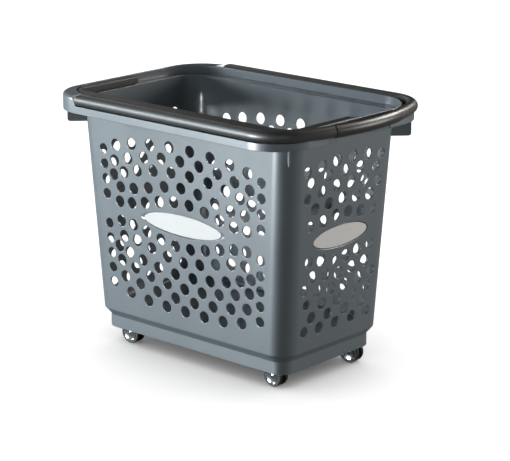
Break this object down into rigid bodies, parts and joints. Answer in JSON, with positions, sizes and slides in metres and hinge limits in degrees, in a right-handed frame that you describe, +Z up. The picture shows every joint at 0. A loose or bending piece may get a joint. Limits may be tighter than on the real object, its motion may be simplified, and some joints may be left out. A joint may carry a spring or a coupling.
{
  "type": "wheeled laundry basket",
  "caption": "Tall perforated rectangular laundry basket on swivel twin-wheel casters, with a long folding pull handle round the rim and a folding carry handle on an inner ledge.",
  "frame": {"origin": "on the floor under the middle of the tub, without the pull handle's overhang", "axes": "+X along the long side towards the pull handle's grip, -Y towards the side where the carry handle lies, +Z up"},
  "size_m": [0.6133, 0.417, 0.4948],
  "materials": {
    "tub_plastic": "blue-grey injection-moulded plastic, satin",
    "handle_plastic": "charcoal plastic tube, semi-gloss",
    "grip_plastic": "charcoal grip sleeve, satin",
    "carry_plastic": "warm dark grey plastic bar, satin",
    "label_plastic": "plain white plate",
    "caster_plastic": "black moulded plastic",
    "tyre_rubber": "dark grey tread",
    "pin_steel": "plain steel pin",
    "cap_chrome": "bright dished cap"
  },
  "bodies": {
    "tub": {"basket_body": "tub_plastic", "pull_pivot_pin_front": "pin_steel", "pull_pivot_pin_rear": "pin_steel", "carry_pivot_pin_left": "pin_steel", "carry_pivot_pin_right": "pin_steel", "label_plate_front": "label_plastic", "label_plate_rear": "label_plastic", "label_plate_left": "label_plastic", "label_plate_right": "label_plastic", "front_left_caster_stem": "pin_steel", "front_right_caster_stem": "pin_steel", "rear_right_caster_stem": "pin_steel", "rear_left_caster_stem": "pin_steel"},
    "pull_handle": {"pull_handle": "handle_plastic", "pull_handle_grip": "grip_plastic"},
    "carry_handle": {"carry_handle": "carry_plastic"},
    "front_left_swivel": {"front_left_caster_hood": "caster_plastic", "front_left_caster_axle": "pin_steel"},
    "front_left_wheel_a": {"front_left_wheel_a_core": "caster_plastic", "front_left_wheel_a_tyre": "tyre_rubber", "front_left_wheel_a_hub_cap": "cap_chrome"},
    "front_left_wheel_b": {"front_left_wheel_b_core": "caster_plastic", "front_left_wheel_b_tyre": "tyre_rubber", "front_left_wheel_b_hub_cap": "cap_chrome"},
    "front_right_swivel": {"front_right_caster_hood": "caster_plastic", "front_right_caster_axle": "pin_steel"},
    "front_right_wheel_a": {"front_right_wheel_a_core": "caster_plastic", "front_right_wheel_a_tyre": "tyre_rubber", "front_right_wheel_a_hub_cap": "cap_chrome"},
    "front_right_wheel_b": {"front_right_wheel_b_core": "caster_plastic", "front_right_wheel_b_tyre": "tyre_rubber", "front_right_wheel_b_hub_cap": "cap_chrome"},
    "rear_right_swivel": {"rear_right_caster_hood": "caster_plastic", "rear_right_caster_axle": "pin_steel"},
    "rear_right_wheel_a": {"rear_right_wheel_a_core": "caster_plastic", "rear_right_wheel_a_tyre": "tyre_rubber", "rear_right_wheel_a_hub_cap": "cap_chrome"},
    "rear_right_wheel_b": {"rear_right_wheel_b_core": "caster_plastic", "rear_right_wheel_b_tyre": "tyre_rubber", "rear_right_wheel_b_hub_cap": "cap_chrome"},
    "rear_left_swivel": {"rear_left_caster_hood": "caster_plastic", "rear_left_caster_axle": "pin_steel"},
    "rear_left_wheel_a": {"rear_left_wheel_a_core": "caster_plastic", "rear_left_wheel_a_tyre": "tyre_rubber", "rear_left_wheel_a_hub_cap": "cap_chrome"},
    "rear_left_wheel_b": {"rear_left_wheel_b_core": "caster_plastic", "rear_left_wheel_b_tyre": "tyre_rubber", "rear_left_wheel_b_hub_cap": "cap_chrome"}
  },
  "joints": [
    {"name": "pull_handle_hinge", "type": "hinge", "parent": "tub", "child": "pull_handle", "pos_m": [-0.198, 0, 0.4825], "axis": [0, -1, 0], "range_deg": [0, 133]},
    {"name": "carry_handle_hinge", "type": "hinge", "parent": "tub", "child": "carry_handle", "pos_m": [0, 0, 0.4813], "axis": [-1, 0, 0], "range_deg": [0, 180]},
    {"name": "front_left_caster_swivel", "type": "hinge", "parent": "tub", "child": "front_left_swivel", "pos_m": [-0.19, -0.09479, 0.05], "axis": [0, 0, 1], "continuous": true},
    {"name": "front_left_wheel_a_spin", "type": "hinge", "parent": "front_left_swivel", "child": "front_left_wheel_a", "pos_m": [-0.1805, -0.1016, 0.02], "axis": [-0.0698, 0.9976, 0], "continuous": true},
    {"name": "front_left_wheel_b_spin", "type": "hinge", "parent": "front_left_swivel", "child": "front_left_wheel_b", "pos_m": [-0.18154, -0.08673, 0.02], "axis": [-0.0698, 0.9976, 0], "continuous": true},
    {"name": "front_right_caster_swivel", "type": "hinge", "parent": "tub", "child": "front_right_swivel", "pos_m": [0.19, -0.09479, 0.05], "axis": [0, 0, 1], "continuous": true},
    {"name": "front_right_wheel_a_spin", "type": "hinge", "parent": "front_right_swivel", "child": "front_right_wheel_a", "pos_m": [0.181, -0.08734, 0.02], "axis": [0, -1, 0], "continuous": true},
    {"name": "front_right_wheel_b_spin", "type": "hinge", "parent": "front_right_swivel", "child": "front_right_wheel_b", "pos_m": [0.181, -0.10224, 0.02], "axis": [0, -1, 0], "continuous": true},
    {"name": "rear_right_caster_swivel", "type": "hinge", "parent": "tub", "child": "rear_right_swivel", "pos_m": [0.19, 0.09479, 0.05], "axis": [0, 0, 1], "continuous": true},
    {"name": "rear_right_wheel_a_spin", "type": "hinge", "parent": "rear_right_swivel", "child": "rear_right_wheel_a", "pos_m": [0.19995, 0.08867, 0.02], "axis": [-0.1392, 0.9903, 0], "continuous": true},
    {"name": "rear_right_wheel_b_spin", "type": "hinge", "parent": "rear_right_swivel", "child": "rear_right_wheel_b", "pos_m": [0.19788, 0.10342, 0.02], "axis": [-0.1392, 0.9903, 0], "continuous": true},
    {"name": "rear_left_caster_swivel", "type": "hinge", "parent": "tub", "child": "rear_left_swivel", "pos_m": [-0.19, 0.09479, 0.05], "axis": [0, 0, 1], "continuous": true},
    {"name": "rear_left_wheel_a_spin", "type": "hinge", "parent": "rear_left_swivel", "child": "rear_left_wheel_a", "pos_m": [-0.19445, 0.1056, 0.02], "axis": [-0.4695, -0.8829, 0], "continuous": true},
    {"name": "rear_left_wheel_b_spin", "type": "hinge", "parent": "rear_left_swivel", "child": "rear_left_wheel_b", "pos_m": [-0.20144, 0.09244, 0.02], "axis": [-0.4695, -0.8829, 0], "continuous": true}
  ]
}
